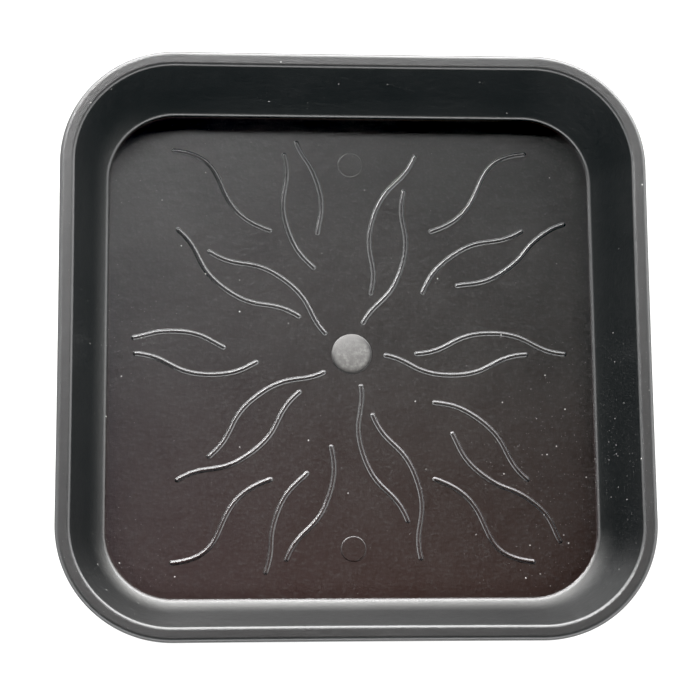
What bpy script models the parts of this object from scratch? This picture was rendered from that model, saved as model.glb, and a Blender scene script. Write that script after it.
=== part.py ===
"""Square plant saucer: a drafted dish with a rolled rim, moulded in one piece with the ribs on its floor.

Metres, +Z up. The foot stands on z = 0 and the middle of the dish is over the origin.
"""

import math

import bmesh
import bpy
from mathutils import Matrix, Vector
from mathutils.geometry import interpolate_bezier

MM = 0.001

# Dish
OUTER_WIDTH = 281 * MM  # across the rim, the same both ways
OVERALL_HEIGHT = 43 * MM
CORNER_RADIUS = 54.5 * MM  # outer edge of the rim, seen from above
WALL_DRAFT = math.radians(18.9)  # lean of the wall from upright
WALL_THICKNESS = 2.0 * MM
FLOOR_THICKNESS = 2.2 * MM
FLOOR_FILLET = 2.2 * MM  # between the floor and the wall, inside

# Rolled rim
RIM_WIDTH = 6.9 * MM  # from the outer edge to the top of the wall, inside
RIM_LAND = 0.8 * MM  # level top of the rim, beside the wall
RIM_FALL = 0.3 * MM  # from there the top slopes down this much to the outer edge
RIM_CROWN_ROUND = 2 * MM
RIM_THICKNESS = 1.9 * MM
RIM_INNER_ROUND = 1.0 * MM
RIM_OUTER_ROUND = 2.2 * MM
SKIRT_DEPTH = 7.5 * MM  # turned-down edge, from the top of the rim
SKIRT_THICKNESS = 1.8 * MM
SKIRT_ROUND = 0.6 * MM
UNDER_RIM_FILLET = 0.8 * MM

# Foot ring under the edge of the floor
FOOT_HEIGHT = 1.4 * MM
FOOT_WIDTH = 4.5 * MM
FOOT_ROUND = 0.8 * MM
FOOT_FILLET = 0.6 * MM

# Drainage ribs: half-round beads on the floor that wave outward from the middle
RIB_RADIUS = 1.25 * MM
RIB_SINK = 0.08 * MM  # the bead's axis lies this far under the floor's face
RIB_EDGE_MARGIN = 12.5 * MM  # no rib comes nearer to the edge of the floor
LEAF_COUNT = 5  # pairs of ribs round the middle, with as many longer pairs between them
WAVE_LENGTH = 40.6 * MM  # along a rib, from where its wave starts to its crown
WAVE_RISE = 10.4 * MM
WAVE_HANDLE = 0.53  # how long the wave runs level at each turn, as a share of the span
LEAF_LEFT_CROWN = 68.75 * MM  # distance of each wave's crown from the middle
LEAF_RIGHT_CROWN = 48.7 * MM
LEAF_LEFT_REACH = (30.4 * MM, 106.2 * MM)  # where each rib starts and ends
LEAF_RIGHT_REACH = (15.2 * MM, 87.2 * MM)
BETWEEN_LEFT_REACH = (45.3 * MM, 106.6 * MM)
BETWEEN_RIGHT_REACH = (61.4 * MM, 136.5 * MM)
BETWEEN_RIGHT_TURNS = (  # distance and offset where the long rib runs level
    (46.75 * MM, 0 * MM),
    (87.35 * MM, -10.95 * MM),
    (113.1 * MM, -7.4 * MM),
    (147.2 * MM, -17.3 * MM),
)
CORNER_RIB = (  # start, two handles and end of the curve that each corner's rib follows
    (39.9 * MM, 61.6 * MM),
    (73.9 * MM, 72.8 * MM),
    (54.3 * MM, 98.5 * MM),
    (87.2 * MM, 101.7 * MM),
)

# Gate boss in the middle, hollowed from below, and ejector pads
BOSS_DIAMETER = 19.5 * MM
BOSS_EDGE = 0.5 * MM
BOSS_ROUND = 0.3 * MM
BOSS_CROWN = 0.8 * MM  # rise from the boss's edge to its middle
GATE_DIAMETER = 15 * MM
GATE_DEPTH = 1.0 * MM
GATE_NUB_DIAMETER = 3.2 * MM
GATE_NUB_HEIGHT = 0.7 * MM
PAD_DIAMETER = 12.2 * MM
PAD_HEIGHT = 0.25 * MM
PAD_EDGE_MARGIN = 24.9 * MM  # from the edge of the floor to the middle of a pad

ROOT = 0.6 * MM  # how far anything that stands on the floor is let into it
CLEAR = 2 * MM  # how far the gate's cutter reaches below the floor

# Fineness of the mesh
ARC_STEP = math.radians(30)
CORNER_STEPS = 12
TURNED_STEPS = 40
BOSS_STEPS = 4
WAVE_STEPS = 48
RIB_STEP = 4.6 * MM
RIB_ROUNDNESS = 2
RIB_END_STEPS = 2
WELD = 0.0001 * MM

# Worked out from the above
FLOOR_TOP = FOOT_HEIGHT + FLOOR_THICKNESS
CORNER_AXIS = OUTER_WIDTH / 2 - CORNER_RADIUS
WALL_LEAN = math.tan(WALL_DRAFT)
WALL_ACROSS = WALL_THICKNESS / math.cos(WALL_DRAFT)
FLOOR_HALF = OUTER_WIDTH / 2 - RIM_WIDTH - (OVERALL_HEIGHT - FLOOR_TOP) * WALL_LEAN

PLASTIC_COLOUR = (0.030, 0.029, 0.028, 1)
PLASTIC_ROUGHNESS = 0.32


def clear_scene():
    for obj in list(bpy.data.objects):
        bpy.data.objects.remove(obj)


def new_collection(name):
    collection = bpy.data.collections.new(name)
    bpy.context.scene.collection.children.link(collection)
    return collection


def helper(obj):
    """Marks an object that shapes the saucer and isn't part of it."""
    obj.hide_render = True
    obj.display_type = "WIRE"
    return obj


def rounded(corners):
    """Points along a path of (x, z, radius) corners, with an arc at each corner that has a radius."""
    points = []
    last = len(corners) - 1
    for i, (x, z, radius) in enumerate(corners):
        corner = Vector((x, z))
        if i in (0, last) or not radius:
            points.append(corner)
            continue
        back = (Vector(corners[i - 1][:2]) - corner).normalized()
        ahead = (Vector(corners[i + 1][:2]) - corner).normalized()
        half = back.angle(ahead) / 2
        centre = corner + (back + ahead).normalized() * radius / math.sin(half)
        first = corner + back * radius / math.tan(half) - centre
        turn = first.angle_signed(corner + ahead * radius / math.tan(half) - centre)
        steps = max(2, math.ceil(abs(turn) / ARC_STEP))
        for step in range(steps + 1):
            points.append(centre + Matrix.Rotation(-turn * step / steps, 2) @ first)
    return points


def section():
    """The dish cut through a corner: (distance from the corner's axis, height, rounding)."""
    outer = CORNER_RADIUS
    rim_inner = outer - RIM_WIDTH
    floor_edge = FLOOR_HALF - CORNER_AXIS
    skirt_foot = OVERALL_HEIGHT - SKIRT_DEPTH
    skirt_inner = outer - SKIRT_THICKNESS
    rim_under = OVERALL_HEIGHT - RIM_FALL - RIM_THICKNESS
    wall_outside = rim_inner + WALL_ACROSS
    wall_top = wall_outside - (OVERALL_HEIGHT - rim_under) * WALL_LEAN
    wall_foot = wall_outside - OVERALL_HEIGHT * WALL_LEAN
    foot_inner = wall_foot - FOOT_WIDTH
    return rounded(
        [
            (0, FLOOR_TOP, 0),
            (floor_edge, FLOOR_TOP, FLOOR_FILLET),
            (rim_inner, OVERALL_HEIGHT, RIM_INNER_ROUND),
            (rim_inner + RIM_LAND, OVERALL_HEIGHT, RIM_CROWN_ROUND),
            (outer, OVERALL_HEIGHT - RIM_FALL, RIM_OUTER_ROUND),
            (outer, skirt_foot, SKIRT_ROUND),
            (skirt_inner, skirt_foot, SKIRT_ROUND),
            (skirt_inner, rim_under, UNDER_RIM_FILLET),
            (wall_top, rim_under, UNDER_RIM_FILLET),
            (wall_foot, 0, FOOT_ROUND),
            (foot_inner, 0, FOOT_FILLET),
            (foot_inner, FOOT_HEIGHT, FOOT_FILLET),
            (0, FOOT_HEIGHT, 0),
        ]
    )


def extrude(mesh, edges, offset):
    grown = bmesh.ops.extrude_edge_only(mesh, edges=edges)["geom"]
    ends = [item for item in grown if isinstance(item, bmesh.types.BMVert)]
    bmesh.ops.translate(mesh, verts=ends, vec=offset)


def dish_quarter():
    """One quarter of the dish, open on the planes x = 0 and y = 0."""
    mesh = bmesh.new()
    axis = Vector((CORNER_AXIS, CORNER_AXIS, 0))
    verts = [mesh.verts.new(axis + Vector((x, 0, z))) for x, z in section()]
    edges = [mesh.edges.new(pair) for pair in zip(verts, verts[1:])]
    spun = bmesh.ops.spin(
        mesh,
        geom=verts + edges,
        cent=axis,
        axis=(0, 0, 1),
        angle=math.radians(90),
        steps=CORNER_STEPS,
    )["geom_last"]
    far_edges = [item for item in spun if isinstance(item, bmesh.types.BMEdge)]
    extrude(mesh, far_edges, (-CORNER_AXIS, 0, 0))
    extrude(mesh, edges, (0, -CORNER_AXIS, 0))
    bmesh.ops.remove_doubles(mesh, verts=mesh.verts, dist=WELD)
    beside_middle = [
        edge
        for edge in mesh.edges
        if edge.is_boundary and all(abs(vert.co.x - CORNER_AXIS) < WELD for vert in edge.verts)
    ]
    extrude(mesh, beside_middle, (-CORNER_AXIS, 0, 0))
    bmesh.ops.remove_doubles(mesh, verts=mesh.verts, dist=WELD)
    bmesh.ops.recalc_face_normals(mesh, faces=mesh.faces)
    return mesh


def mesh_object(name, mesh, collection):
    data = bpy.data.meshes.new(name)
    mesh.to_mesh(data)
    mesh.free()
    data.shade_smooth()
    obj = bpy.data.objects.new(name, data)
    collection.objects.link(obj)
    return obj


def turned(name, profile, collection, centre=(0, 0)):
    """A round piece from a profile of (radius, height) points that starts and ends on its axis."""
    mesh = bmesh.new()
    axis = Vector((*centre, 0))
    verts = [mesh.verts.new(axis + Vector((radius, 0, z))) for radius, z in profile]
    edges = [mesh.edges.new(pair) for pair in zip(verts, verts[1:])]
    bmesh.ops.spin(
        mesh, geom=verts + edges, cent=axis, axis=(0, 0, 1), angle=math.tau, steps=TURNED_STEPS
    )
    bmesh.ops.remove_doubles(mesh, verts=mesh.verts, dist=WELD)
    bmesh.ops.recalc_face_normals(mesh, faces=mesh.faces)
    return helper(mesh_object(name, mesh, collection))


def edge_distance(point):
    """How far a point on the floor is from the floor's edge."""
    past = Vector((abs(point.x) - CORNER_AXIS, abs(point.y) - CORNER_AXIS))
    reach = FLOOR_HALF - CORNER_AXIS
    return reach - (past.length if min(past) > 0 else max(past))


def wave(turns, handle):
    """A path on the floor through points where it runs level, with an S between each two."""
    path = []
    for start, end in zip(turns, turns[1:]):
        level = Vector(((end[0] - start[0]) * handle, 0))
        start, end = Vector(start), Vector(end)
        path += interpolate_bezier(start, start + level, end - level, end, WAVE_STEPS)
    return path


def crowned(crown, rise):
    """The turns of a wave with one crown."""
    return ((crown - WAVE_LENGTH, 0), (crown, rise), (crown + WAVE_LENGTH, 0))


def thinned(path):
    """The same path with points about RIB_STEP apart, its two ends kept."""
    kept = [path[0]]
    for point in path:
        if (point - kept[-1]).length >= RIB_STEP and (point - path[-1]).length >= RIB_STEP / 2:
            kept.append(point)
    return kept + [path[-1]]


def bead(name, path, collection):
    """A half-round rib along a path on the floor, with round ends."""
    start = (path[0] - path[1]).normalized()
    end = (path[-1] - path[-2]).normalized()
    angles = [math.radians(90) * step / (RIB_END_STEPS + 0.5) for step in range(1, RIB_END_STEPS + 1)]
    points = [(point, 1) for point in path]
    for angle in angles:
        along = RIB_RADIUS * math.sin(angle)
        points.insert(0, (path[0] + start * along, math.cos(angle)))
        points.append((path[-1] + end * along, math.cos(angle)))
    curve = bpy.data.curves.new(name + "_path", "CURVE")
    curve.dimensions = "3D"
    curve.bevel_depth = RIB_RADIUS
    curve.bevel_resolution = RIB_ROUNDNESS
    curve.use_fill_caps = True
    spline = curve.splines.new("POLY")
    spline.points.add(len(points) - 1)
    for knot, (point, radius) in zip(spline.points, points):
        knot.co = (point.x, point.y, FLOOR_TOP - RIB_SINK, 1)
        knot.radius = radius
    guide = bpy.data.objects.new(name + "_path", curve)
    mesh = bmesh.new()
    mesh.from_mesh(bpy.data.meshes.new_from_object(guide))
    bpy.data.objects.remove(guide)
    bmesh.ops.remove_doubles(mesh, verts=mesh.verts, dist=WELD)
    bmesh.ops.recalc_face_normals(mesh, faces=mesh.faces)
    return helper(mesh_object(name, mesh, collection))


def leaf_ribs(name, turns, reach, first_angle, collection):
    """One rib of a leaf, repeated round the middle and kept off the edge of the floor."""
    nearest, farthest = reach[0] + RIB_RADIUS, reach[1] - RIB_RADIUS
    shape = [point for point in wave(turns, WAVE_HANDLE) if nearest <= point.x <= farthest]
    for k in range(LEAF_COUNT):
        turn = Matrix.Rotation(first_angle + math.tau * k / LEAF_COUNT, 2)
        path = [turn @ point for point in shape]
        path = [point for point in path if edge_distance(point) >= RIB_EDGE_MARGIN + RIB_RADIUS]
        bead(f"{name}_{k + 1}", thinned(path), collection)


def corner_ribs(collection):
    """One rib in each corner, each the mirror image of its neighbours."""
    shape = interpolate_bezier(*(Vector(point) for point in CORNER_RIB), WAVE_STEPS)
    shape = [point for point in shape if edge_distance(point) >= RIB_EDGE_MARGIN + RIB_RADIUS]
    for k, (x, y) in enumerate(((1, 1), (-1, 1), (-1, -1), (1, -1))):
        path = [Vector((point.x * x, point.y * y)) for point in shape]
        bead(f"corner_rib_{k + 1}", thinned(path), collection)


def floor_features(collection):
    """Everything that stands on the floor."""
    between = math.pi / LEAF_COUNT
    left = crowned(LEAF_LEFT_CROWN, WAVE_RISE)
    right = crowned(LEAF_RIGHT_CROWN, -WAVE_RISE)
    leaf_ribs("leaf_left_rib", left, LEAF_LEFT_REACH, 0, collection)
    leaf_ribs("leaf_right_rib", right, LEAF_RIGHT_REACH, 0, collection)
    leaf_ribs("between_left_rib", left, BETWEEN_LEFT_REACH, between, collection)
    leaf_ribs("between_right_rib", BETWEEN_RIGHT_TURNS, BETWEEN_RIGHT_REACH, between, collection)
    corner_ribs(collection)

    edge = FLOOR_TOP + BOSS_EDGE
    boss = [
        (0, FLOOR_TOP - ROOT, 0),
        (BOSS_DIAMETER / 2, FLOOR_TOP - ROOT, 0),
        (BOSS_DIAMETER / 2, edge, BOSS_ROUND),
    ]
    for step in range(1, BOSS_STEPS + 1):
        share = 1 - step / BOSS_STEPS
        boss.append((BOSS_DIAMETER / 2 * share, edge + BOSS_CROWN * (1 - share**2), 0))
    turned("gate_boss", rounded(boss), collection)

    pad_place = FLOOR_HALF - PAD_EDGE_MARGIN
    pad = [
        (0, FLOOR_TOP - ROOT),
        (PAD_DIAMETER / 2, FLOOR_TOP - ROOT),
        (PAD_DIAMETER / 2, FLOOR_TOP),
        (PAD_DIAMETER / 2 - PAD_HEIGHT, FLOOR_TOP + PAD_HEIGHT),
        (0, FLOOR_TOP + PAD_HEIGHT),
    ]
    turned("back_pad", pad, collection, (0, pad_place))
    turned("front_pad", pad, collection, (0, -pad_place))


def gate_cutter(collection):
    """The round hollow under the boss, less the gate's stub that is left standing in it."""
    ceiling = FOOT_HEIGHT + GATE_DEPTH
    stub = ceiling - GATE_NUB_HEIGHT
    profile = [
        (0, FOOT_HEIGHT - CLEAR),
        (GATE_DIAMETER / 2, FOOT_HEIGHT - CLEAR),
        (GATE_DIAMETER / 2, ceiling),
        (GATE_NUB_DIAMETER / 2, ceiling),
        (GATE_NUB_DIAMETER / 2, stub),
        (0, stub),
    ]
    return turned("gate_hollow", profile, collection)


def plastic():
    material = bpy.data.materials.new("dark_plastic")
    material.use_nodes = True
    shader = material.node_tree.nodes["Principled BSDF"]
    shader.inputs["Base Color"].default_value = PLASTIC_COLOUR
    shader.inputs["Roughness"].default_value = PLASTIC_ROUGHNESS
    shader.inputs["Metallic"].default_value = 0
    return material


def boolean(obj, name, operation):
    modifier = obj.modifiers.new(name, "BOOLEAN")
    modifier.operation = operation
    modifier.solver = "EXACT"
    return modifier


def build():
    clear_scene()
    parts = new_collection("square_plant_saucer")
    features = new_collection("floor_features")
    cutters = new_collection("cutters")

    saucer = mesh_object("saucer", dish_quarter(), parts)
    saucer.data.materials.append(plastic())
    mirror = saucer.modifiers.new("four_quarters", "MIRROR")
    mirror.use_axis = (True, True, False)
    mirror.merge_threshold = 0.01 * MM

    floor_features(features)
    stand = boolean(saucer, "floor_features", "UNION")
    stand.operand_type = "COLLECTION"
    stand.collection = features
    boolean(saucer, "gate_hollow", "DIFFERENCE").object = gate_cutter(cutters)
    saucer.modifiers.new("shading", "WEIGHTED_NORMAL")


build()
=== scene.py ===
"""Square plant saucer in satin black plastic, looked down on under one soft lamp from behind."""

import math

import bpy
import numpy as np
from mathutils import Matrix, Vector
from mathutils.geometry import interpolate_bezier


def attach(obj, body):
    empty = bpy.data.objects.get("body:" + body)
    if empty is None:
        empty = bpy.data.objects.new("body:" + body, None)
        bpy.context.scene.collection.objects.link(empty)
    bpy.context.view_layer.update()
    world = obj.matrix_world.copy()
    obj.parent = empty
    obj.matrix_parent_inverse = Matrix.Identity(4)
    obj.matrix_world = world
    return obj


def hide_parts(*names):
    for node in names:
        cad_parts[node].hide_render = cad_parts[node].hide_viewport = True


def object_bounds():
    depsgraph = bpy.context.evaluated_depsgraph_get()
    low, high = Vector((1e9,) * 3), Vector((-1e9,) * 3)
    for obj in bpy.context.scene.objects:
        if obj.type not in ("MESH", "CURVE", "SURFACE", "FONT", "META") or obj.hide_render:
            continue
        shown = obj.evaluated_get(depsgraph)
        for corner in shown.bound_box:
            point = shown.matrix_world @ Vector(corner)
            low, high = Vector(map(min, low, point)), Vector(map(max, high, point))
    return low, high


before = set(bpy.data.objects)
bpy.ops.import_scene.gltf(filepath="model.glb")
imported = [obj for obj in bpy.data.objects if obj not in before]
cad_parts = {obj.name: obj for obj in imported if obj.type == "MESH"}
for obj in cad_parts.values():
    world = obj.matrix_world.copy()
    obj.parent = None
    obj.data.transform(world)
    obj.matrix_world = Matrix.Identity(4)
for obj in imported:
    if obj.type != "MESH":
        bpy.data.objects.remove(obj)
CAD_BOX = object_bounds()

MM = 0.001
RIGHT_ANGLE = math.radians(90)

# Dish
OUTER_HALF = CAD_BOX[1][0]
HEIGHT = CAD_BOX[1][2]
CORNER_RADIUS = 54.5 * MM
WALL_DRAFT = math.radians(18.9)
WALL_THICKNESS = 2.0 * MM
FLOOR_THICKNESS = 2.2 * MM
FLOOR_FILLET = 2.2 * MM
GUTTER_WIDTH = 9 * MM
GUTTER_DEPTH = 0.2 * MM  # the floor falls this much towards its edge
RIM_WIDTH = 6.9 * MM
RIM_RISE = 0.1 * MM
RIM_THICKNESS = 1.9 * MM
RIM_INNER_ROUND = 1.9 * MM
RIM_OUTER_ROUND = 2.2 * MM
SKIRT_DEPTH = 7.5 * MM
SKIRT_THICKNESS = 1.8 * MM
SKIRT_ROUND = 0.6 * MM
UNDER_RIM_FILLET = 0.8 * MM
FOOT_HEIGHT = 1.4 * MM
FOOT_WIDTH = 4.5 * MM
FOOT_ROUND = 0.8 * MM
FOOT_FILLET = 0.6 * MM
SIDE_BOW = 0.2 * MM  # the sides draw in this much at the rim as the moulding cools

# Ribs, boss, gate and pads
RIB_RADIUS = 1.25 * MM
RIB_FLAT = 0.1 * MM
RIB_CROWN = 1.2 * MM
RIB_FLANK = 0.2 * MM
RIB_FILLET = 0.3 * MM
RIB_SLOPE = math.radians(40)
RIB_EDGE_MARGIN = 12.5 * MM
LEAF_COUNT = 5
WAVE_LENGTH = 40.6 * MM
WAVE_RISE = 10.4 * MM
WAVE_HANDLE = 0.53
LEAF_LEFT_CROWN = 68.75 * MM
LEAF_RIGHT_CROWN = 48.7 * MM
LEAF_LEFT_REACH = (30.4 * MM, 106.2 * MM)
LEAF_RIGHT_REACH = (15.2 * MM, 87.2 * MM)
BETWEEN_LEFT_REACH = (45.3 * MM, 106.6 * MM)
BETWEEN_RIGHT_REACH = (61.4 * MM, 136.5 * MM)
BETWEEN_RIGHT_TURNS = (
    (46.75 * MM, 0 * MM),
    (87.35 * MM, -10.95 * MM),
    (113.1 * MM, -7.4 * MM),
    (147.2 * MM, -17.3 * MM),
)
CORNER_RIB = (
    (39.9 * MM, 61.6 * MM),
    (73.9 * MM, 72.8 * MM),
    (54.3 * MM, 98.5 * MM),
    (87.2 * MM, 101.7 * MM),
)
BOSS_RADIUS = 9.75 * MM
BOSS_EDGE = 0.5 * MM
BOSS_CROWN = 0.8 * MM
BOSS_ROUND = 0.35 * MM
GATE_RADIUS = 7.5 * MM
GATE_DEPTH = 1.0 * MM
NUB_RADIUS = 1.6 * MM
NUB_HEIGHT = 0.7 * MM
GATE_ROUND = 0.2 * MM
PAD_RADIUS = 6.1 * MM
PAD_HEIGHT = 0.25 * MM
PAD_EDGE_MARGIN = 24.9 * MM

# Worked out from the above
FLOOR_TOP = FOOT_HEIGHT + FLOOR_THICKNESS
CORNER_AXIS = OUTER_HALF - CORNER_RADIUS
WALL_LEAN = math.tan(WALL_DRAFT)
WALL_ACROSS = WALL_THICKNESS / math.cos(WALL_DRAFT)
FLOOR_HALF = OUTER_HALF - RIM_WIDTH - (HEIGHT - FLOOR_TOP) * WALL_LEAN

# Fineness of the mesh
ARC_STEP = math.radians(9)
CORNER_STEPS = 36
SIDE_STEPS = 20
GUTTER_STEPS = 5
BOSS_STEPS = 10
BOSS_FOOT_RINGS = 4  # the last rings of the boss, which are not frosted
WAVE_STEPS = 160
RIB_STEP = 1.4 * MM
RIB_CROWN_STEPS = 10
RIB_FILLET_STEPS = 4
RIB_END_STEPS = 8
PAD_STEPS = 64
SUPPORT = 0.4 * MM
LIFT = 0.004 * MM  # ribs and pads run out this far above the floor's face
WELD_GAP = 0.001 * MM

# Plastic: how places on it can differ, and its darkest and lightest tones
FINISH = ("wear", "matt", "wall", "frosted")
SATIN_TONES = ((0.0002, 0.0002, 0.0002, 1), (0.0032, 0.003, 0.0028, 1))
RUBBED_TONES = ((0.006, 0.006, 0.006, 1), (0.01, 0.0098, 0.0095, 1))
RIM_MATT = 0.1  # the rim's top is rougher than the rest
MATT_START = 0.18  # how far inside the rim that starts, as a share of the inner round
RIB_POLISH = 0.07
INNER_WEAR = 1.3  # how wide the rim's edges are rubbed, as a share of each edge's round
OUTER_WEAR = 0.6
WALL_DARKER = 0.65  # the walls are made darker than the floor
EDGE_WORN = (0.6, 1.0)
EDGE_SCUFFS = (0.45, 0.75)
EDGE_RUB = 0.4
EDGE_RUB_COLOUR = (0.02, 0.02, 0.02, 1)

# Unevenness of the plastic: scale, detail and roughness of each pattern
MOTTLE = (26, 7, 0.62)
SCUFFS = (520, 5, 0.72)
GRAIN = (2600, 2, 0.5)
BLOOM = (1000, 1, 0.5)
DIMPLES = (180, 2, 0.5)
FLOW = (1.0, 3, 0.6)
FLOW_STRETCH = (45, 260, 200)
CLOUD = (1.0, 1, 0.5)
CLOUD_STRETCH = (420, 700, 500)
MOTTLE_FILM = (0.35, 0.75)
CLOUD_FILM = (0.3, 0.7, 0.0, 0.4)
GLOSS = (0.3, 0.7, 0.273, 0.289)  # low and high mottling, and the roughness at each
GLOSS_UNEVEN = (0.45, 0.75)
GLOSS_SWING = (0.02, 0.016, 0.004)  # by bloom, cloud and flow
RELIEF = (0.1, 0.25, 1.0, 1.6, 6.0)  # by flow, grain, bloom, cloud and dimples
RELIEF_STRENGTH = 0.25
RELIEF_DEPTH = 0.06 * MM

# Dirt and painted light: a range of four is two places on an axis or in a pattern, and how much of it
# lies at each
BOUNCE_FADE = 1.8
BOUNCE_RISE = 18 * MM  # painted bounce light reaches this far up the walls, most of it in front
BOUNCE_FRONT = (-0.085, -0.118, 0.06, 1.0)
BOUNCE_LEFT = (-0.095, -0.118, 0.0, 0.22)
BOUNCE_ACROSS = (-0.1, 0.1, 1.15, 0.85)
BOUNCE_GRAIN = (0.2, 0.8, 0.5, 1.5)
BOUNCE_COLOUR = (0.077, 0.077, 0.075, 1)
WARM_REFLECTION_FRONT = (0.0, -0.11, 0.0, 0.35)  # a painted warm reflection browns the floor towards the front
WARM_REFLECTION_COLOUR = (0.008, 0.001, 0.0002, 1)
GRIME = (0.22, 0.12)  # fine dust on the floor and on the walls
GRIME_BLOOM = (0.5, 0.75)
GRIME_CLOUD = (0.35, 0.65, 0.3, 1.0)
GRIME_COLOUR = (0.03, 0.03, 0.029, 1)
DUSTY = (  # x, y and reach of the dusty places
    (0.098, -0.099, 0.03),
    (-0.112, 0.01, 0.03),
    (-0.128, -0.12, 0.05),
    (0.13, -0.05, 0.08),
)
DUSTY_HEIGHT = 10 * MM
DUSTY_MOST = 0.09
DUST_PATCHES = (22, 3)
DUST_PATCHY = (0.55, 0.75, 0.0, 0.01)
DUST_CHANCE = (0.993, 0.997)
DUST_SIZE = (0.19, 0.08)
DUST_SCALE = 420
FINE_DUST_SCALE = 1100
FINE_DUST_MORE = 3.0
FINE_DUST_SHARE = 0.6
DUST_COLOUR = (0.2, 0.2, 0.195, 1)
DUST_MATT = 0.1

# Boss: a frosted face, scarred in front, with a painted highlight that makes it palest along its back
# left edge
BOSS_LIT = (-0.001, 0.008)
BOSS_SLANT = 0.5
BOSS_HIGHLIGHT_REACH = (0.4 * BOSS_RADIUS, 0.95 * BOSS_RADIUS)
BOSS_WORN = (BOSS_RADIUS, 0.75 * BOSS_RADIUS)
FROST_DIM = (0.029, 0.028, 0.0262, 1)
FROST_LIT = (0.0225, 0.0215, 0.02, 1)
FROST_HIGHLIGHT_COLOUR = (0.034, 0.0325, 0.0305, 1)
FROST_MATT = 0.22
SCARS = (0.45, 0.68)
SCARS_LIT = (0.0, 1.0, 1.0, 0.08)
SCAR_COLOUR = (0.06, 0.058, 0.055, 1)
SCAR_HEIGHT = 1.2

# Camera, fitted to the photograph's straight edges
CAMERA_PLACE = (-0.0738, -0.1687, 0.9906)
CAMERA_TURN = (math.radians(9.8226), math.radians(-4.1381), math.radians(-0.5243))
CAMERA_LENS = 105.56
CAMERA_SENSOR = 36

# Light: how bright the surroundings are at each angle from overhead, in front, at the sides, behind
LIGHT_FRONT = ((0, 0.01), (35, 0.05), (45, 0.5), (61, 0.8), (67, 13.5), (76, 13.5), (82, 4), (90, 4))
LIGHT_SIDE = ((0, 0.01), (35, 0.1), (40, 4.2), (58, 4.2), (66, 5.6), (75, 5.8), (80, 3.2), (90, 3.2))
LIGHT_BEHIND = ((0, 0.01), (28.6, 0.02), (30.5, 19), (33.5, 19), (36, 5), (45, 4), (60, 27), (90, 29))
FRONT_TO_SIDE = (-0.8, 0.2)
SIDE_TO_BEHIND = (0.3, 0.88)
LIGHT_TURN = math.radians(9)
SIDE_SLANT = 0.15  # more of the side light comes from the right than from the left
STRIP_LIGHT = ((0, 0), (28.2, 0), (29.2, 152), (31.2, 152), (32, 0), (90, 0))
STRIP_TURN = math.radians(-28)
STRIP_FADE = (0.84, 0.97)
GLOWS = (  # faint coloured light from overhead: direction, reach in degrees, colour
    ((0.06, 0.03, 1), 10, (0.8, 0.28, 0.1)),
    ((-0.045, 0.1, 1), 8, (1.8, 1.4, 1.8)),
    ((0.09, 0.11, 1), 7, (0.6, 0.5, 0.2)),
)
LEAST_LEVEL = 0.001
BLACK_LEVEL = (0.0135, 0.011, 0.0102)  # what the picture shows as black

# Pale floor under the saucer
PALE_TONES = ((0.12, 0.12, 0.12, 1), (0.1176, 0.1176, 0.1176, 1))
PALE_MOTTLE = (9, 3)
PALE_ROUGHNESS = 0.8
PALE_GLOW = 0.84
PALE_SIZE = 6.0


def rounded(corners):
    """Points along a path of (x, z, radius) corners, with an arc at each corner that has a radius."""
    points = []
    last = len(corners) - 1
    for i, (x, z, radius) in enumerate(corners):
        corner = Vector((x, z))
        if i in (0, last) or not radius:
            points.append(corner)
            continue
        back = (Vector(corners[i - 1][:2]) - corner).normalized()
        ahead = (Vector(corners[i + 1][:2]) - corner).normalized()
        half = back.angle(ahead) / 2
        centre = corner + (back + ahead).normalized() * radius / math.sin(half)
        first = corner + back * radius / math.tan(half) - centre
        turn = first.angle_signed(corner + ahead * radius / math.tan(half) - centre)
        steps = max(2, math.ceil(abs(turn) / ARC_STEP))
        for step in range(steps + 1):
            points.append(centre + Matrix.Rotation(-turn * step / steps, 2) @ first)
    return points


def supported(points):
    """The same points, with one more near each end of a long straight, so that it is shaded flat."""
    more = [points[0]]
    for start, end in zip(points, points[1:]):
        if (end - start).length > 3 * SUPPORT:
            step = (end - start).normalized() * SUPPORT
            more += [start + step, end - step]
        more.append(end)
    return more


def dish_section():
    """The dish cut through a corner, as (distance from the corner's axis, height) points."""
    rim_inner = CORNER_RADIUS - RIM_WIDTH
    floor_edge = FLOOR_HALF - CORNER_AXIS
    skirt_foot = HEIGHT - SKIRT_DEPTH
    skirt_inner = CORNER_RADIUS - SKIRT_THICKNESS
    rim_under = HEIGHT - RIM_THICKNESS
    wall_outside = rim_inner + WALL_ACROSS
    wall_top = wall_outside - RIM_THICKNESS * WALL_LEAN
    wall_foot = wall_outside - HEIGHT * WALL_LEAN
    foot_inner = wall_foot - FOOT_WIDTH
    gutter = [Vector((floor_edge - GUTTER_WIDTH - SUPPORT, FLOOR_TOP))]
    for step in range(GUTTER_STEPS):
        share = step / GUTTER_STEPS
        fall = GUTTER_DEPTH * share**2
        gutter.append(Vector((floor_edge - (1 - share) * GUTTER_WIDTH, FLOOR_TOP - fall)))
    edges = rounded(
        [
            (*gutter[-1], 0),
            (floor_edge, FLOOR_TOP - GUTTER_DEPTH, FLOOR_FILLET),
            (rim_inner, HEIGHT - RIM_RISE, RIM_INNER_ROUND),
            (CORNER_RADIUS, HEIGHT, RIM_OUTER_ROUND),
            (CORNER_RADIUS, skirt_foot, SKIRT_ROUND),
            (skirt_inner, skirt_foot, SKIRT_ROUND),
            (skirt_inner, rim_under, UNDER_RIM_FILLET),
            (wall_top, rim_under, UNDER_RIM_FILLET),
            (wall_foot, 0, FOOT_ROUND),
            (foot_inner, 0, FOOT_FILLET),
            (foot_inner, FOOT_HEIGHT, FOOT_FILLET),
            (foot_inner - 3 * FOOT_FILLET, FOOT_HEIGHT, 0),
        ]
    )
    return gutter[:-1] + supported(edges)


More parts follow.
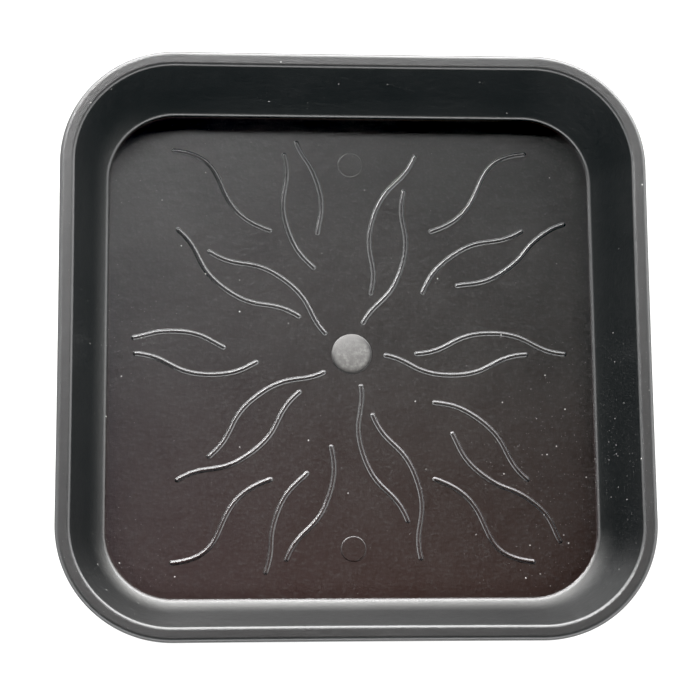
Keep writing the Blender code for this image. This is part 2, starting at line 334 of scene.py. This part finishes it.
def boss_section():
    """The boss over the gate, from its middle out to the floor, as (radius, height) points."""
    points = []
    for step in range(1, BOSS_STEPS):
        share = step / BOSS_STEPS
        points.append((BOSS_RADIUS * share, FLOOR_TOP + BOSS_EDGE + BOSS_CROWN * (1 - share**2)))
    edge = rounded(
        [
            (*points[-1], 0),
            (BOSS_RADIUS, FLOOR_TOP + BOSS_EDGE, BOSS_ROUND),
            (BOSS_RADIUS, FLOOR_TOP, BOSS_ROUND / 2),
            (BOSS_RADIUS + BOSS_ROUND, FLOOR_TOP, 0),
        ]
    )
    return points + edge[1:] + [(BOSS_RADIUS + BOSS_ROUND + SUPPORT, FLOOR_TOP)]


def gate_section():
    """The hollow under the boss, from the underside of the floor to the tip of the gate's stub."""
    ceiling = FOOT_HEIGHT + GATE_DEPTH
    stub = ceiling - NUB_HEIGHT
    return rounded(
        [
            (GATE_RADIUS + 2 * GATE_ROUND, FOOT_HEIGHT, 0),
            (GATE_RADIUS, FOOT_HEIGHT, GATE_ROUND),
            (GATE_RADIUS, ceiling, GATE_ROUND),
            (NUB_RADIUS, ceiling, GATE_ROUND),
            (NUB_RADIUS, stub, GATE_ROUND),
            (NUB_RADIUS / 2, stub, 0),
        ]
    )


def outline():
    """Points and outward directions round the square that the corner axes make."""
    points, directions = [], []
    for k in range(4):
        start = RIGHT_ANGLE * k
        middle = start + RIGHT_ANGLE / 2
        end = start + RIGHT_ANGLE
        axis = CORNER_AXIS * math.sqrt(2) * np.array([math.cos(middle), math.sin(middle)])
        along = np.array([-math.sin(end), math.cos(end)])
        for step in range(CORNER_STEPS + 1):
            angle = start + RIGHT_ANGLE * step / CORNER_STEPS
            points.append(axis)
            directions.append((math.cos(angle), math.sin(angle)))
        for step in range(1, SIDE_STEPS):
            points.append(axis + along * 2 * CORNER_AXIS * step / SIDE_STEPS)
            directions.append(directions[-1])
    return np.array(points), np.array(directions)


def bowed(points):
    """Draws the straight sides in towards the rim, as a cooled moulding's are."""
    for side, along in ((0, 1), (1, 0)):
        reach = np.clip(1 - (points[:, along] / CORNER_AXIS) ** 2, 0, None)
        on_side = np.abs(points[:, side]) > CORNER_AXIS
        draw = SIDE_BOW * reach * np.clip(points[:, 2] / HEIGHT, 0, 1) * on_side
        points[:, side] -= np.sign(points[:, side]) * draw
    return points


def mesh_object(name, points, faces):
    mesh = bpy.data.meshes.new(name)
    mesh.from_pydata([tuple(point) for point in points], [], faces)
    mesh.validate()
    mesh.shade_smooth()
    obj = bpy.data.objects.new(name, mesh)
    bpy.context.scene.collection.objects.link(obj)
    return obj


def set_finish(obj, **finish):
    """How each point differs from plain plastic. What is not given is 0."""
    for name in FINISH:
        values = np.zeros(len(obj.data.vertices), np.float32)
        values[:] = finish.get(name, 0)
        attribute = obj.data.attributes.new(name, "FLOAT", "POINT")
        attribute.data.foreach_set("value", values)


def strip_faces(rows, columns, first=0, closed=False):
    """Quads between rows of points, each row going round once where it is closed."""
    faces = []
    for row in range(rows - 1):
        for column in range(columns if closed else columns - 1):
            a = first + row * columns + column
            b = first + row * columns + (column + 1) % columns
            faces.append((a, b, b + columns, a + columns))
    return faces


def edge_wear(distance, z):
    """How worn a place on the section is: the rim's edges are knocked and rubbed."""
    inner = abs(distance - (CORNER_RADIUS - RIM_WIDTH)) < INNER_WEAR * RIM_INNER_ROUND
    outer = distance > CORNER_RADIUS - OUTER_WEAR * RIM_OUTER_ROUND
    high = z > HEIGHT - RIM_OUTER_ROUND
    return 1.0 if high and (inner or outer) else 0.0


def dish():
    """The whole moulding but for its ribs and pads, as rings from the boss over the rim to the gate."""
    places, directions = outline()
    count = len(places)
    around = places + directions * (FLOOR_HALF - CORNER_AXIS)
    spokes = around / np.linalg.norm(around, axis=1)[:, None]
    matt_start = CORNER_RADIUS - RIM_WIDTH - MATT_START * RIM_INNER_ROUND
    rings = []
    finish = {name: [] for name in FINISH}

    def add(flat, z, **values):
        """Adds a ring of points at one height, with its finish."""
        rings.append(np.column_stack([flat, np.full(count, z)]))
        for name in FINISH:
            finish[name].append(values.get(name, 0))

    boss = boss_section()
    for k, (radius, z) in enumerate(boss):
        add(spokes * radius, z, frosted=k < len(boss) - BOSS_FOOT_RINGS)
    for distance, z in dish_section():
        add(
            places + directions * distance,
            z,
            wear=edge_wear(distance, z),
            matt=RIM_MATT * (z > HEIGHT - RIM_OUTER_ROUND and distance > matt_start),
            wall=distance > FLOOR_HALF - CORNER_AXIS and z > FLOOR_TOP,
        )
    for radius, z in gate_section():
        add(spokes * radius, z)
    faces = [tuple(reversed(face)) for face in strip_faces(len(rings), count, closed=True)]
    last = (len(rings) - 1) * count
    faces.append(tuple(range(count)))
    faces.append(tuple(reversed(range(last, last + count))))
    obj = mesh_object("saucer_dish", bowed(np.concatenate(rings)), faces)
    set_finish(obj, **{name: np.repeat(values, count) for name, values in finish.items()})
    return obj


def edge_distance(point):
    """How far a point on the floor is from the floor's edge."""
    past = Vector((abs(point.x) - CORNER_AXIS, abs(point.y) - CORNER_AXIS))
    reach = FLOOR_HALF - CORNER_AXIS
    return reach - (past.length if min(past) > 0 else max(past))


def wave(turns, handle):
    """A path on the floor through points where it runs level, with an S between each two."""
    path = []
    for start, end in zip(turns, turns[1:]):
        level = Vector(((end[0] - start[0]) * handle, 0))
        start, end = Vector(start), Vector(end)
        path += interpolate_bezier(start, start + level, end - level, end, WAVE_STEPS)
    return path


def crowned(crown, rise):
    """The turns of a wave with one crown."""
    return ((crown - WAVE_LENGTH, 0), (crown, rise), (crown + WAVE_LENGTH, 0))


def rib_paths():
    """The middle line of every rib."""
    left = crowned(LEAF_LEFT_CROWN, WAVE_RISE)
    right = crowned(LEAF_RIGHT_CROWN, -WAVE_RISE)
    between = math.pi / LEAF_COUNT
    paths = []
    for turns, reach, first in (
        (left, LEAF_LEFT_REACH, 0),
        (right, LEAF_RIGHT_REACH, 0),
        (left, BETWEEN_LEFT_REACH, between),
        (BETWEEN_RIGHT_TURNS, BETWEEN_RIGHT_REACH, between),
    ):
        nearest, farthest = reach[0] + RIB_RADIUS, reach[1] - RIB_RADIUS
        shape = [point for point in wave(turns, WAVE_HANDLE) if nearest <= point.x <= farthest]
        for k in range(LEAF_COUNT):
            turn = Matrix.Rotation(first + math.tau * k / LEAF_COUNT, 2)
            paths.append([turn @ point for point in shape])
    corner = interpolate_bezier(*(Vector(point) for point in CORNER_RIB), WAVE_STEPS)
    for x, y in ((1, 1), (-1, 1), (-1, -1), (1, -1)):
        paths.append([Vector((point.x * x, point.y * y)) for point in corner])
    margin = RIB_EDGE_MARGIN + RIB_RADIUS
    return [[point for point in path if edge_distance(point) >= margin] for path in paths]


def spaced(path):
    """The same path as evenly spaced points about RIB_STEP apart."""
    points = np.array([tuple(point) for point in path])
    lengths = np.concatenate([[0], np.cumsum(np.linalg.norm(np.diff(points, axis=0), axis=1))])
    marks = np.linspace(0, lengths[-1], max(3, round(lengths[-1] / RIB_STEP)))
    return np.column_stack([np.interp(marks, lengths, points[:, i]) for i in (0, 1)])


def rib_section():
    """Half a rib, from its crest out to the floor, as (offset, height) rows: a bead and its fillet."""
    reach = RIB_FLAT + RIB_FLANK + (RIB_CROWN + RIB_FILLET) * math.sin(RIB_SLOPE)
    crest = RIB_FLANK * math.tan(RIB_SLOPE) + (RIB_CROWN + RIB_FILLET) * (1 - math.cos(RIB_SLOPE))
    rows = [(0, crest)]
    for angle in np.linspace(0, RIB_SLOPE, RIB_CROWN_STEPS + 1):
        rows.append((RIB_FLAT + RIB_CROWN * math.sin(angle), crest - RIB_CROWN * (1 - math.cos(angle))))
    for angle in np.linspace(RIB_SLOPE, 0, RIB_FILLET_STEPS + 1):
        rows.append((reach - RIB_FILLET * math.sin(angle), RIB_FILLET * (1 - math.cos(angle))))
    return np.array(rows)


def ribs():
    """All the ribs: a bead along each path and a rounded end on each end of it."""
    half = rib_section()
    full = np.concatenate([half[:0:-1] * (-1, 1), half])
    turns = np.linspace(0, math.pi, RIB_END_STEPS * 2 + 1)
    points, faces, wear = [], [], []

    def add(rows, heights):
        """Adds rows of (x, y) points that share their heights, as a strip of faces."""
        first = sum(len(block) for block in points)
        flat = np.concatenate(rows)
        z = np.tile(heights, len(rows)) + FLOOR_TOP + LIFT
        points.append(np.column_stack([flat, z]))
        wear.append(np.tile(heights, len(rows)) / half[0, 1])
        faces.extend(strip_faces(len(rows), len(heights), first))

    for path in rib_paths():
        middle = spaced(path)
        ahead = np.gradient(middle, axis=0)
        ahead /= np.linalg.norm(ahead, axis=1)[:, None]
        left = np.column_stack([-ahead[:, 1], ahead[:, 0]])
        add([p - side * full[:, :1] for p, side in zip(middle, left)], full[:, 1])
        for end, out, side in ((0, -ahead[0], left[0]), (-1, ahead[-1], -left[-1])):
            fan = [side * math.cos(turn) + out * math.sin(turn) for turn in turns]
            add([middle[end] + direction * half[:, :1] for direction in fan], half[:, 1])
    obj = mesh_object("drain_ribs", np.concatenate(points), faces)
    set_finish(obj, wear=np.concatenate(wear), matt=-RIB_POLISH)
    obj.modifiers.new("weld", "WELD").merge_threshold = WELD_GAP
    return obj


def pads():
    """The two round marks of the ejector pins, one behind and one in front of the boss."""
    section = rounded(
        [
            (PAD_RADIUS - 3 * PAD_HEIGHT, PAD_HEIGHT, 0),
            (PAD_RADIUS - PAD_HEIGHT, PAD_HEIGHT, PAD_HEIGHT),
            (PAD_RADIUS, 0, PAD_HEIGHT),
            (PAD_RADIUS + PAD_HEIGHT, 0, 0),
        ]
    )
    angles = np.arange(PAD_STEPS) * math.tau / PAD_STEPS
    circle = np.column_stack([np.cos(angles), np.sin(angles)])
    points, faces = [], []
    for place in (FLOOR_HALF - PAD_EDGE_MARGIN, PAD_EDGE_MARGIN - FLOOR_HALF):
        first = sum(len(block) for block in points)
        for radius, z in section:
            ring = circle * radius + (0, place)
            points.append(np.column_stack([ring, np.full(PAD_STEPS, z + FLOOR_TOP + LIFT)]))
        faces += [face[::-1] for face in strip_faces(len(section), PAD_STEPS, first, closed=True)]
        faces.append(tuple(range(first, first + PAD_STEPS)))
    obj = mesh_object("ejector_pads", np.concatenate(points), faces)
    set_finish(obj)
    return obj


class Nodes:
    """Short ways to add and join the nodes of one material or of the surroundings."""

    MIX_FIRST, MIX_SECOND, MIX_OUT = 6, 7, 2  # the colour sockets of a mix

    def __init__(self, owner):
        owner.use_nodes = True
        self.tree = owner.node_tree

    def add(self, kind, inputs=None, **settings):
        node = self.tree.nodes.new("ShaderNode" + kind)
        for key, value in settings.items():
            setattr(node, key, value)
        for key, value in (inputs or {}).items():
            self.feed(node.inputs[key], value)
        return node

    def feed(self, socket, value):
        if isinstance(value, bpy.types.NodeSocket):
            self.tree.links.new(value, socket)
        else:
            socket.default_value = value

    def maths(self, operation, *inputs):
        return self.add("Math", dict(enumerate(inputs)), operation=operation).outputs[0]

    def vector(self, operation, *inputs):
        return self.add("VectorMath", dict(enumerate(inputs)), operation=operation).outputs

    def total(self, first, *rest):
        for value in rest:
            first = self.maths("ADD", first, value)
        return first

    def product(self, first, *rest):
        for value in rest:
            first = self.maths("MULTIPLY", first, value)
        return first

    def between(self, value, low, high, to_low=0.0, to_high=1.0, **settings):
        inputs = {0: value, 1: low, 2: high, 3: to_low, 4: to_high}
        return self.add("MapRange", inputs, **settings).outputs[0]

    def eased(self, value, low, high):
        return self.between(value, low, high, interpolation_type="SMOOTHSTEP")

    def blend(self, factor, a, b):
        node = self.add("Mix", data_type="RGBA")
        self.feed(node.inputs["Factor"], factor)
        self.feed(node.inputs[self.MIX_FIRST], a)
        self.feed(node.inputs[self.MIX_SECOND], b)
        return node.outputs[self.MIX_OUT]

    def ramp(self, tilt, stops):
        """Grey tones at angles from overhead."""
        node = self.add("ValToRGB", {0: tilt})
        elements = node.color_ramp.elements
        while len(elements) < len(stops):
            elements.new(0.5)
        for element, (angle, tone) in zip(elements, stops):
            element.position = math.radians(angle) / RIGHT_ANGLE
            element.color = (tone, tone, tone, 1)
        return node.outputs[0]

    def noise(self, where, scale, detail, roughness=0.5):
        inputs = {"Vector": where, "Scale": scale, "Detail": detail, "Roughness": roughness}
        return self.add("TexNoise", inputs).outputs["Fac"]

    def stretched(self, where, scale):
        return self.add("Mapping", {"Vector": where, "Scale": scale}).outputs[0]

    def attribute(self, name):
        return self.add("Attribute", attribute_name=name).outputs["Fac"]

    def specks(self, where, scale, more):
        """Scattered specks, one to a cell where it has one, and more of them where it is dusty."""
        cells = self.add("TexVoronoi", {"Vector": where, "Scale": scale, "Randomness": 1}, feature="F1")
        chance = self.add("SeparateColor", {0: cells.outputs["Color"]}).outputs[0]
        chosen = self.between(self.total(chance, more), *DUST_CHANCE)
        return self.product(chosen, self.between(cells.outputs["Distance"], *DUST_SIZE))


def dust(n, where):
    """Where specks of dust lie: a few all over, and many in the dusty places."""
    dusty = n.between(n.noise(where, *DUST_PATCHES), *DUST_PATCHY)
    for *spot, reach in DUSTY:
        gap = n.vector("DISTANCE", where, (*spot, DUSTY_HEIGHT))["Value"]
        dusty = n.maths("MAXIMUM", dusty, n.between(gap, reach, 0.0, 0.0, DUSTY_MOST))
    fine = n.specks(where, FINE_DUST_SCALE, n.product(dusty, FINE_DUST_MORE))
    return n.maths("MAXIMUM", n.specks(where, DUST_SCALE, dusty), n.product(fine, FINE_DUST_SHARE))


def painted_bounce_light(n, where, wall, grain):
    """How strong the painted bounce light on the feet of the walls is, mostly in front and on the left,
    uneven with the grain.
    """
    x, y, z = n.add("SeparateXYZ", {0: where}).outputs
    low = n.maths("POWER", n.between(z, FLOOR_TOP + BOUNCE_RISE, FLOOR_TOP), BOUNCE_FADE)
    sides = n.maths("MAXIMUM", n.between(y, *BOUNCE_FRONT), n.between(x, *BOUNCE_LEFT))
    return n.product(low, sides, wall, n.between(x, *BOUNCE_ACROSS), n.between(grain, *BOUNCE_GRAIN))


def boss_frost_and_highlight(n, where, frosted, scuffs):
    """Where the boss is frosted, where it is scarred, and the colour of both, with a painted highlight
    along the back left edge.
    """
    x, y = n.add("SeparateXYZ", {0: where}).outputs[:2]
    lit = n.between(n.maths("SUBTRACT", y, n.product(x, BOSS_SLANT)), *BOSS_LIT)
    across = n.maths("SQRT", n.total(n.product(x, x), n.product(y, y)))
    cover = n.product(frosted, n.maths("MAXIMUM", lit, n.between(across, *BOSS_WORN)))
    scars = n.product(n.between(scuffs, *SCARS), n.between(lit, *SCARS_LIT))
    colour = n.blend(lit, FROST_DIM, FROST_LIT)
    # painted highlight along the back left edge of the boss
    colour = n.blend(n.product(n.between(across, *BOSS_HIGHLIGHT_REACH), lit), colour, FROST_HIGHLIGHT_COLOUR)
    return cover, scars, n.blend(scars, colour, SCAR_COLOUR)


def plastic(name, darkest, lightest):
    """Satin black plastic: faint tool marks, mottled gloss, rubbed edges, dust, a frosted boss with a
    painted highlight, painted bounce light on the feet of the walls and a painted warm reflection on the
    front of the floor.
    """
    material = bpy.data.materials.new(name)
    n = Nodes(material)
    shader = n.tree.nodes["Principled BSDF"].inputs
    where = n.add("TexCoord").outputs["Object"]
    y = n.add("SeparateXYZ", {0: where}).outputs[1]
    wear, matt, wall, frosted = [n.attribute(key) for key in FINISH]
    mottle = n.noise(where, *MOTTLE)
    flow = n.noise(n.stretched(where, FLOW_STRETCH), *FLOW)
    grain = n.noise(where, *GRAIN)
    scuffs = n.noise(where, *SCUFFS)
    cloud = n.noise(n.stretched(where, CLOUD_STRETCH), *CLOUD)
    bloom = n.noise(where, *BLOOM)
    dimples = n.noise(where, *DIMPLES)
    specks = dust(n, where)
    frosted, scars, frost_and_highlight = boss_frost_and_highlight(n, where, frosted, scuffs)

    rubbed = n.product(n.between(wear, *EDGE_WORN), n.between(scuffs, *EDGE_SCUFFS), EDGE_RUB)
    # painted warm reflection: browner towards the front of the floor, none on the walls
    painted_warmth = n.product(n.between(y, *WARM_REFLECTION_FRONT), n.between(wall, 0.0, 1.0, 1.0, 0.0))
    grime = n.product(
        n.between(bloom, *GRIME_BLOOM), n.between(cloud, *GRIME_CLOUD), n.between(wall, 0.0, 1.0, *GRIME)
    )
    colour = n.blend(n.between(mottle, *MOTTLE_FILM), darkest, lightest)
    for cover, tone in (
        (rubbed, EDGE_RUB_COLOUR),
        (n.between(cloud, *CLOUD_FILM), lightest),
        (n.product(wall, WALL_DARKER), darkest),
        (painted_warmth, WARM_REFLECTION_COLOUR),
        (grime, GRIME_COLOUR),
        (frosted, frost_and_highlight),
        # painted bounce light, pale on the feet of the walls
        (painted_bounce_light(n, where, wall, grain), BOUNCE_COLOUR),
        (specks, DUST_COLOUR),
    ):
        colour = n.blend(cover, colour, tone)
    n.feed(shader["Base Color"], colour)

    rough = n.between(mottle, *GLOSS)
    for uneven, swing in zip((bloom, cloud, flow), GLOSS_SWING):
        rough = n.total(rough, n.between(uneven, *GLOSS_UNEVEN, 0.0, swing))
    rough = n.total(rough, matt, n.product(frosted, FROST_MATT), n.product(specks, DUST_MATT))
    n.feed(shader["Roughness"], rough)

    height = n.product(scars, frosted, SCAR_HEIGHT)
    for relief, share in zip((flow, grain, bloom, cloud, dimples), RELIEF):
        height = n.total(height, n.product(relief, share))
    bump = n.add("Bump", {"Strength": RELIEF_STRENGTH, "Distance": RELIEF_DEPTH, "Height": height})
    n.feed(shader["Normal"], bump.outputs[0])
    return material


def pale_floor():
    """The pale ground that the saucer stands on."""
    material = bpy.data.materials.new("pale_floor")
    n = Nodes(material)
    shader = n.tree.nodes["Principled BSDF"].inputs
    where = n.add("TexCoord").outputs["Object"]
    n.feed(shader["Base Color"], n.blend(n.noise(where, *PALE_MOTTLE), *PALE_TONES))
    n.feed(shader["Roughness"], PALE_ROUGHNESS)
    n.feed(shader["Emission Color"], (1, 1, 1, 1))
    n.feed(shader["Emission Strength"], PALE_GLOW)
    half = PALE_SIZE / 2
    corners = [(-half, -half, 0), (half, -half, 0), (half, half, 0), (-half, half, 0)]
    floor = mesh_object("pale_floor", corners, [(0, 1, 2, 3)])
    floor.data.materials.append(material)


def surroundings():
    """Soft light from all round, strongest from behind, with a dim patch overhead."""
    world = bpy.data.worlds.new("studio")
    n = Nodes(world)
    where = n.add("TexCoord").outputs["Generated"]
    x, y, z = n.add("SeparateXYZ", {0: where}).outputs
    level = n.maths("MAXIMUM", n.maths("SINE", n.maths("ARCCOSINE", z)), LEAST_LEVEL)

    def facing(turn):
        """How far a direction points to the back, once turned."""
        turned = n.add("Mapping", {"Vector": where, "Rotation": (0, 0, turn)}).outputs[0]
        return n.maths("DIVIDE", n.add("SeparateXYZ", {0: turned}).outputs[1], level)

    behind = facing(LIGHT_TURN)
    slant = n.maths("MULTIPLY_ADD", n.maths("DIVIDE", x, level), SIDE_SLANT, 1.0)
    round_tilt = n.maths("DIVIDE", n.maths("ARCCOSINE", z), RIGHT_ANGLE)
    straight_tilt = n.maths("DIVIDE", n.maths("ARCTAN2", y, z), RIGHT_ANGLE)
    side = n.vector("MULTIPLY", n.ramp(round_tilt, LIGHT_SIDE), slant)[0]
    light = n.blend(n.eased(behind, *FRONT_TO_SIDE), n.ramp(round_tilt, LIGHT_FRONT), side)
    light = n.blend(n.eased(behind, *SIDE_TO_BEHIND), light, n.ramp(straight_tilt, LIGHT_BEHIND))
    strip_share = n.eased(facing(STRIP_TURN), *STRIP_FADE)
    light = n.vector("MULTIPLY_ADD", strip_share, n.ramp(straight_tilt, STRIP_LIGHT), light)[0]
    for direction, reach, colour in GLOWS:
        near = n.vector("DOT_PRODUCT", where, Vector(direction).normalized())["Value"]
        share = n.eased(near, math.cos(math.radians(reach)), 1.0)
        light = n.vector("MULTIPLY_ADD", share, colour, light)[0]
    n.feed(n.tree.nodes["Background"].inputs["Color"], light)
    bpy.context.scene.world = world


def camera():
    data = bpy.data.cameras.new("camera")
    data.lens = CAMERA_LENS
    data.sensor_width = CAMERA_SENSOR
    obj = bpy.data.objects.new("camera", data)
    obj.location = CAMERA_PLACE
    obj.rotation_euler = CAMERA_TURN
    bpy.context.scene.collection.objects.link(obj)
    bpy.context.scene.camera = obj


def build():
    black = plastic("satin_plastic", *SATIN_TONES)
    greyed = plastic("rubbed_plastic", *RUBBED_TONES)
    for piece, material in ((dish(), black), (ribs(), greyed), (pads(), black)):
        piece.data.materials.append(material)
        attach(piece, "root")
        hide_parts("saucer")
    pale_floor()
    surroundings()
    camera()
    view = bpy.context.scene.view_settings
    view.view_transform = "Standard"
    view.use_curve_mapping = True
    view.curve_mapping.black_level = BLACK_LEVEL
    view.curve_mapping.update()


build()
